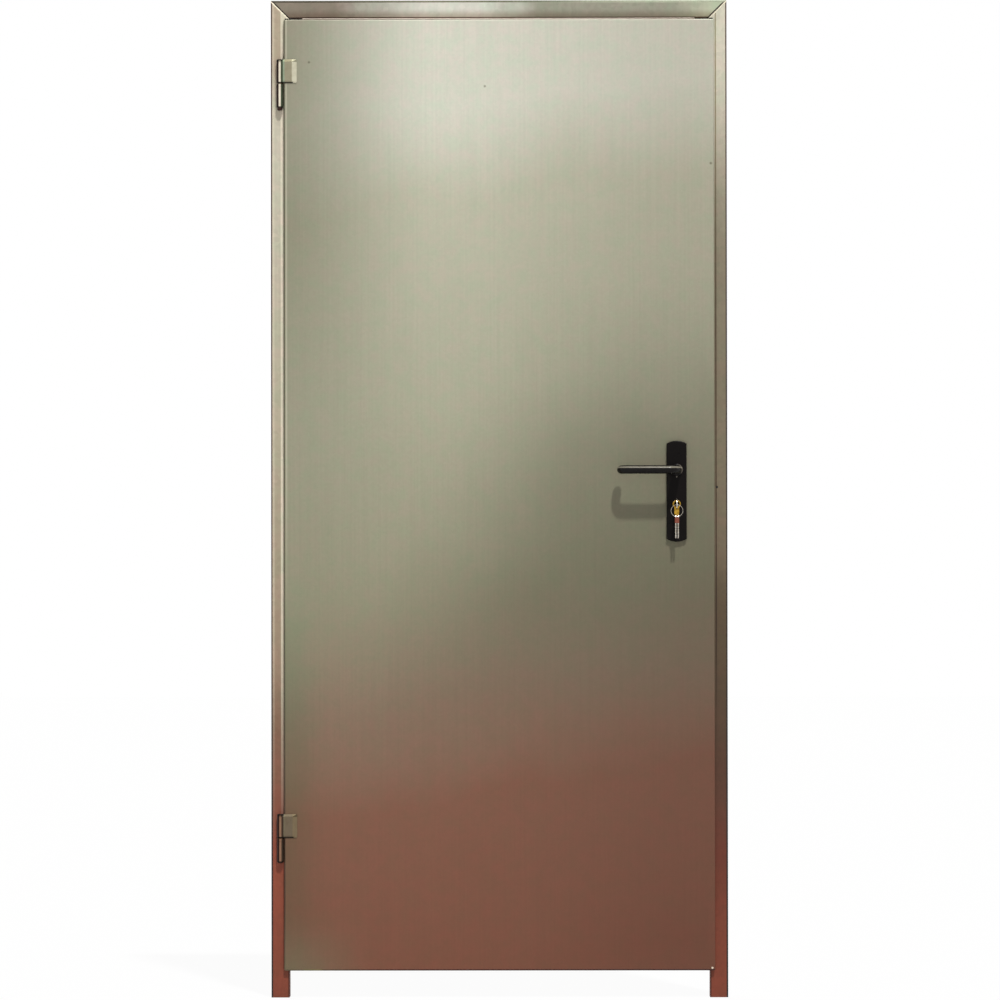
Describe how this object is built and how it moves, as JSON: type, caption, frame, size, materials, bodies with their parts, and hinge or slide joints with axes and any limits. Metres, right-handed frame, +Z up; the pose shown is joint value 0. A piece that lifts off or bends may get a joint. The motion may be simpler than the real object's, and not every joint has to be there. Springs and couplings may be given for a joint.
{
  "type": "metal service door with frame",
  "caption": "Galvanised sheet-steel door leaf hung on lift-off hinges in a mitred tube frame, with black lever handles on long plates and keys in the lock.",
  "frame": {"origin": "on the hinge jamb's outer face, at the middle of the frame's depth and level with the finished floor", "axes": "+Z up, +X from the hinge jamb to the lock jamb, -Y to the side the leaf opens to"},
  "size_m": [0.96, 0.174, 2.098],
  "materials": {
    "galvanised_frame": "spangled zinc coat, slightly dull",
    "galvanised_leaf": "smooth dull zinc coat",
    "mineral_wool": "pressed fibre",
    "seal_rubber": "matt",
    "zinc_steel": "zinc plated, smooth",
    "pin_steel": "turned steel",
    "bearing_brass": "smooth",
    "black_plastic": "satin moulded",
    "nickel": "satin nickel",
    "cylinder_brass": "satin",
    "red_band": "smooth"
  },
  "bodies": {
    "frame": {"hinge_jamb": "galvanised_frame", "lock_jamb": "galvanised_frame", "head_rail": "galvanised_frame", "hinge_side_seal": "seal_rubber", "lock_side_seal": "seal_rubber", "strike_plate": "zinc_steel", "top_hinge_barrel": "zinc_steel", "bottom_hinge_barrel": "zinc_steel", "top_hinge_pin": "pin_steel", "bottom_hinge_pin": "pin_steel", "top_hinge_washer": "bearing_brass", "bottom_hinge_washer": "bearing_brass"},
    "leaf": {"leaf_front_skin": "galvanised_leaf", "leaf_back_skin": "galvanised_leaf", "leaf_core": "mineral_wool", "lock_forend": "zinc_steel", "top_hinge_wing": "zinc_steel", "bottom_hinge_wing": "zinc_steel", "latch_bolt": "pin_steel", "dead_bolt": "pin_steel", "front_plate": "black_plastic", "back_plate": "black_plastic", "key_in_lock": "nickel", "key_ring": "nickel", "hanging_key_left": "nickel", "hanging_key_right": "nickel", "lock_cylinder": "cylinder_brass", "key_band": "red_band"},
    "handle": {"front_lever": "black_plastic", "back_lever": "black_plastic", "spindle": "pin_steel"}
  },
  "joints": [
    {"name": "leaf_swing", "type": "hinge", "parent": "frame", "child": "leaf", "pos_m": [0.0195, -0.034, 1], "axis": [0, 0, -1], "range_deg": [0, 170]},
    {"name": "lever_turn", "type": "hinge", "parent": "leaf", "child": "handle", "pos_m": [0.853, 0, 1.058], "axis": [0, -1, 0], "range_deg": [0, 40], "stiffness_Nm_per_rad": 1.2, "springref_deg": -20.05}
  ]
}
